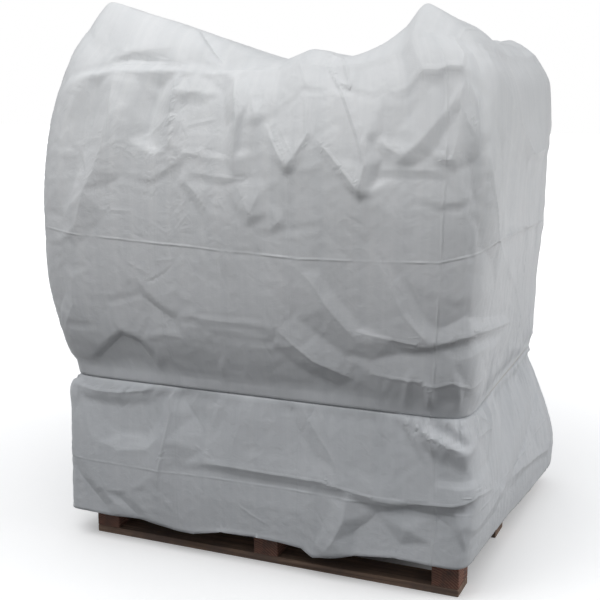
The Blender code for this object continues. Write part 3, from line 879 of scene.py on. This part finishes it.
# Where a loose sack pushes up, the sheet lies on it and rises like a tent round that place
place = np.array([vert.co[:] for vert in sheet_mesh.vertices])
depsgraph = bpy.context.evaluated_depsgraph_get()
low = np.zeros(count)
for name in ("loose_sack_left", "loose_sack_right"):
    sack = BVHTree.FromObject(nodes[name], depsgraph)
    for i in np.nonzero(on_top & (place[:, 1] < -0.1))[0]:
        hit = sack.ray_cast(Vector((place[i, 0], place[i, 1], 1.8)), Vector((0, 0, -1)))[0]
        if hit is not None:
            low[i] = max(low[i], hit.z + 0.008 - place[i, 2])
rise = np.zeros(count)
near = level > 1.3
for i in np.nonzero(low > 0)[0]:
    away = np.linalg.norm(place[near] - place[i], axis=1)
    rise[near] = np.maximum(rise[near], low[i] * ease(1 - away / 0.16, 0, 1))
place[:, 2] += rise
sheet_mesh.vertices.foreach_set("co", place.astype(np.float32).ravel())
sheet_mesh.update()

# Fold lines left by the packing: straight ridges and grooves in the flat sheet
lines, given, out = new_group(
    "packing fold",
    [("Flat", "Vector", None), ("Place", "Float", 0.0), ("Width", "Float", 0.0055),
     ("Wander", "Float", 0.006)],
    [("Across", "Float"), ("Up", "Float")],
)
parts = add(lines, "SeparateXYZ", {"Vector": given["Flat"]})
loose = add(lines, "TexNoise", {"Vector": given["Flat"], "Scale": 7, "Detail": 2})
swing = add(lines, "Math", {0: loose.outputs["Fac"], 1: 0.5}, operation="SUBTRACT")
swung = add(lines, "Math", {0: swing.outputs[0], 1: given["Wander"]}, operation="MULTIPLY")
for axis, name in (("X", "Across"), ("Y", "Up")):
    off = add(lines, "Math", {0: parts.outputs[axis], 1: given["Place"]}, operation="SUBTRACT")
    off = add(lines, "Math", {0: off.outputs[0], 1: swung.outputs[0]}, operation="ADD")
    off = add(lines, "Math", {0: off.outputs[0]}, operation="ABSOLUTE")
    near = add(lines, "MapRange", {"Value": off.outputs[0], "From Min": 0, "From Max": given["Width"],
                                   "To Min": 1, "To Max": 0})
    lines.links.new(near.outputs[0], out[name])

fabric, tree, shader = new_finish("white cover sheet", 0.5)
shader.inputs["Sheen Weight"].default_value = 0.12
shader.inputs["Sheen Roughness"].default_value = 0.5
laid = add(tree, "UVMap", uv_map="flat").outputs["UV"]
cloth = add(tree, "Group", node_tree=weave)
tree.links.new(laid, cloth.inputs["Flat"])
cloth.inputs["Tape"].default_value = 0.0024
soil = add(tree, "TexNoise", {"Vector": laid, "Scale": 3.2, "Detail": 6, "Roughness": 0.62})
streak = add(tree, "Mapping", {"Vector": laid, "Scale": (34, 1.3, 1)})
tape = add(tree, "TexNoise", {"Vector": streak.outputs["Vector"], "Scale": 1, "Detail": 3})
colour = ramp(tree, soil.outputs["Fac"], (0.3, (0.76, 0.77, 0.775)), (0.48, (0.83, 0.84, 0.845)),
              (0.7, (0.86, 0.865, 0.87)))
faint = ramp(tree, tape.outputs["Fac"], (0.3, (0.93, 0.935, 0.94)), (0.7, (1, 1, 1)))
toned = add(tree, "MixRGB", {"Fac": 1.0, "Color1": colour, "Color2": faint}, blend_type="MULTIPLY")
# Painted shade: the sheet's colour is made darker from its top down to the skirt, standing in for the lower
# sides and the skirt under the bulge getting less of the overhead light
up = add(tree, "SeparateXYZ", {"Vector": add(tree, "TexCoord").outputs["Object"]}).outputs["Z"]
share = add(tree, "MapRange", {"Value": up, "From Min": 0, "From Max": 1.7})
painted_shade_by_height = ramp(tree, share.outputs[0], (0.05, (0.84, 0.85, 0.87)), (0.3, (0.84, 0.85, 0.87)),
            (0.5, (0.93, 0.93, 0.94)), (0.75, (1, 1, 1)))
painted_shade_colour = add(tree, "MixRGB", {"Fac": 1.0, "Color1": toned.outputs["Color"], "Color2": painted_shade_by_height},
             blend_type="MULTIPLY")
tree.links.new(painted_shade_colour.outputs["Color"], shader.inputs["Base Color"])
# Everything that stands up from the flat sheet, with how high in metres, is summed in one bump
heights = []
for direction, place, high in (
    ("Up", 0.968, 0.8), ("Across", 0.556, 0.9), ("Across", -0.29, 0.35), ("Up", 0.262, 0.5),
    ("Across", 1.30, 0.7), ("Across", -1.15, 0.8), ("Across", 2.1, 0.8), ("Across", -1.95, 0.7),
    ("Up", 2.2, 0.6), ("Across", 0.13, 0.3),
):
    packed_line = add(tree, "Group", node_tree=lines)
    tree.links.new(laid, packed_line.inputs["Flat"])
    packed_line.inputs["Place"].default_value = place
    worn = add(tree, "TexNoise", {"Vector": laid, "Scale": 11 + high, "Detail": 2})
    worn = add(tree, "MapRange", {"Value": worn.outputs["Fac"], "From Min": 0.36, "From Max": 0.62,
                                  "To Min": 0.15, "To Max": 1})
    line = add(tree, "Math", {0: packed_line.outputs[direction], 1: worn.outputs[0]}, operation="MULTIPLY")
    heights.append((line.outputs[0], high * 0.0021))
off = add(tree, "Attribute", attribute_name="crease_off").outputs["Fac"]
off = add(tree, "Math", {0: off}, operation="ABSOLUTE").outputs[0]
sharp = add(tree, "MapRange", {"Value": off, "From Min": 0, "From Max": 0.009, "To Min": 1,
                               "To Max": 0}).outputs[0]
tall = add(tree, "Attribute", attribute_name="crease_high").outputs["Fac"]
heights.append((add(tree, "Math", {0: sharp, 1: tall}, operation="MULTIPLY").outputs[0], 0.0028))
small = add(tree, "TexNoise", {"Vector": laid, "Scale": 26, "Detail": 4, "Roughness": 0.55,
                               "Distortion": 0.4})
ridge = add(tree, "Math", {0: small.outputs["Fac"], 1: 0.5}, operation="SUBTRACT")
ridge = add(tree, "Math", {0: ridge.outputs[0]}, operation="ABSOLUTE")
heights.append((ridge.outputs[0], -0.0020))
heights.append((cloth.outputs["Height"], 0.00010))
heights.append((tape.outputs["Fac"], 0.0006))
summed = None
for socket, scale in heights:
    scaled = add(tree, "Math", {0: socket, 1: scale}, operation="MULTIPLY").outputs[0]
    if summed is None:
        summed = scaled
    else:
        summed = add(tree, "Math", {0: summed, 1: scaled}, operation="ADD").outputs[0]
bump = add(tree, "Bump", {"Strength": 1.0, "Distance": 1.0, "Height": summed})
tree.links.new(bump.outputs["Normal"], shader.inputs["Normal"])
sheet_mesh.materials.append(fabric)

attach(cover, "root")
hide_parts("cover")


# ---- Cord at the waist ----
# A thin twisted cord of pale fibre, drawn tight round the cover. It keeps its solid from the packed
# model, a closed ring, and lies deep in the crease that it makes.

cord_finish, tree, shader = new_finish("twisted cord", 0.75)
place = add(tree, "TexCoord").outputs["Object"]
twist = add(tree, "TexWave", {"Vector": place, "Scale": 60, "Distortion": 1.5, "Detail": 2},
            bands_direction="DIAGONAL")
colour = ramp(tree, twist.outputs["Fac"], (0.2, (0.5, 0.49, 0.46)), (0.8, (0.74, 0.73, 0.7)))
tree.links.new(colour, shader.inputs["Base Color"])
bump = add(tree, "Bump", {"Strength": 0.6, "Distance": 0.0008, "Height": twist.outputs["Fac"]})
tree.links.new(bump.outputs["Normal"], shader.inputs["Normal"])
dress("tie_cord", cord_finish)


# ---- Floor, light and camera ----
# A plain pale floor under soft overhead light, and the camera where the photo was taken from. None of
# them is part of the object.

grown = bmesh.new()
bmesh.ops.create_grid(grown, x_segments=2, y_segments=2, size=30)
floor_mesh = bpy.data.meshes.new("floor")
grown.to_mesh(floor_mesh)
grown.free()
floor = bpy.data.objects.new("floor", floor_mesh)
bpy.context.scene.collection.objects.link(floor)
pale, tree, shader = new_finish("pale floor", 0.9)
speck = add(tree, "TexNoise", {"Vector": add(tree, "TexCoord").outputs["Object"], "Scale": 3, "Detail": 4})
speckled = ramp(tree, speck.outputs["Fac"], (0.2, (0.86, 0.86, 0.86)), (0.8, (0.88, 0.88, 0.88)))
tree.links.new(speckled, shader.inputs["Base Color"])
floor_mesh.materials.append(pale)
shader.inputs["Emission Color"].default_value = (1, 1, 1, 1)
# The floor shines a little, more with the distance, so that it runs into the white behind it, and
# not at all under the pallet
place = add(tree, "TexCoord").outputs["Object"]
far = add(tree, "VectorMath", {0: place}, operation="LENGTH").outputs["Value"]
glow = add(tree, "MapRange", {"Value": far, "From Min": 0.8, "From Max": 4.5, "To Min": 0.34, "To Max": 1})
past = add(tree, "VectorMath", {0: place}, operation="ABSOLUTE").outputs["Vector"]
past = add(tree, "VectorMath", {0: past, 1: (0.6, 0.5, 0)}, operation="SUBTRACT").outputs["Vector"]
past = add(tree, "SeparateXYZ", {"Vector": past})
past = add(tree, "Math", {0: past.outputs["X"], 1: past.outputs["Y"]}, operation="MAXIMUM").outputs[0]
open_floor = add(tree, "MapRange", {"Value": past, "From Min": -0.1, "From Max": 0.05, "To Min": 0,
                                    "To Max": 1})
glow = add(tree, "Math", {0: glow.outputs[0], 1: open_floor.outputs[0]}, operation="MULTIPLY")
tree.links.new(glow.outputs[0], shader.inputs["Emission Strength"])
floor.visible_diffuse = False

world = bpy.data.worlds.new("studio")
world.use_nodes = True
tree = world.node_tree
background = tree.nodes["Background"]
direction = add(tree, "SeparateXYZ", {"Vector": add(tree, "TexCoord").outputs["Generated"]})
up = add(tree, "MapRange", {"Value": direction.outputs["Z"], "From Min": -1, "From Max": 1})
sky = ramp(tree, up.outputs[0], (0.46, (0.02, 0.019, 0.018)), (0.53, (0.27, 0.28, 0.295)),
           (0.75, (0.42, 0.43, 0.445)), (1.0, (0.6, 0.61, 0.625)))
seen = add(tree, "LightPath").outputs["Is Camera Ray"]
shown = add(tree, "MixRGB", {"Fac": seen, "Color1": sky, "Color2": (1, 1, 1, 1)})
tree.links.new(shown.outputs["Color"], background.inputs["Color"])
background.inputs["Strength"].default_value = 1.0
bpy.context.scene.world = world


def soft_light(name, place, aim, size, power):
    """A round lamp at a place, turned to its aim."""
    lamp = bpy.data.lights.new(name, "AREA")
    lamp.shape = "DISK"
    lamp.size = size
    lamp.energy = power
    held = bpy.data.objects.new(name, lamp)
    held.location = place
    from_to = [a - b for a, b in zip(aim, place)]
    held.rotation_euler = Vector(from_to).to_track_quat("-Z", "Y").to_euler()
    bpy.context.scene.collection.objects.link(held)


soft_light("overhead", (-0.5, -2.0, 3.2), (0, -0.3, 1.0), 2.4, 34)
soft_light("right", (4.4, 0.2, 2.2), (0.3, 0, 0.8), 2.6, 56)

lens = bpy.data.cameras.new("camera")
lens.sensor_width = 36
lens.lens = 65.5
viewer = bpy.data.objects.new("camera", lens)
viewer.location = (1.32, -3.31, 1.42)
viewer.rotation_euler = (math.radians(90 - 11.1), 0, math.radians(23.24))
bpy.context.scene.collection.objects.link(viewer)
bpy.context.scene.camera = viewer
bpy.context.scene.view_settings.view_transform = "Standard"
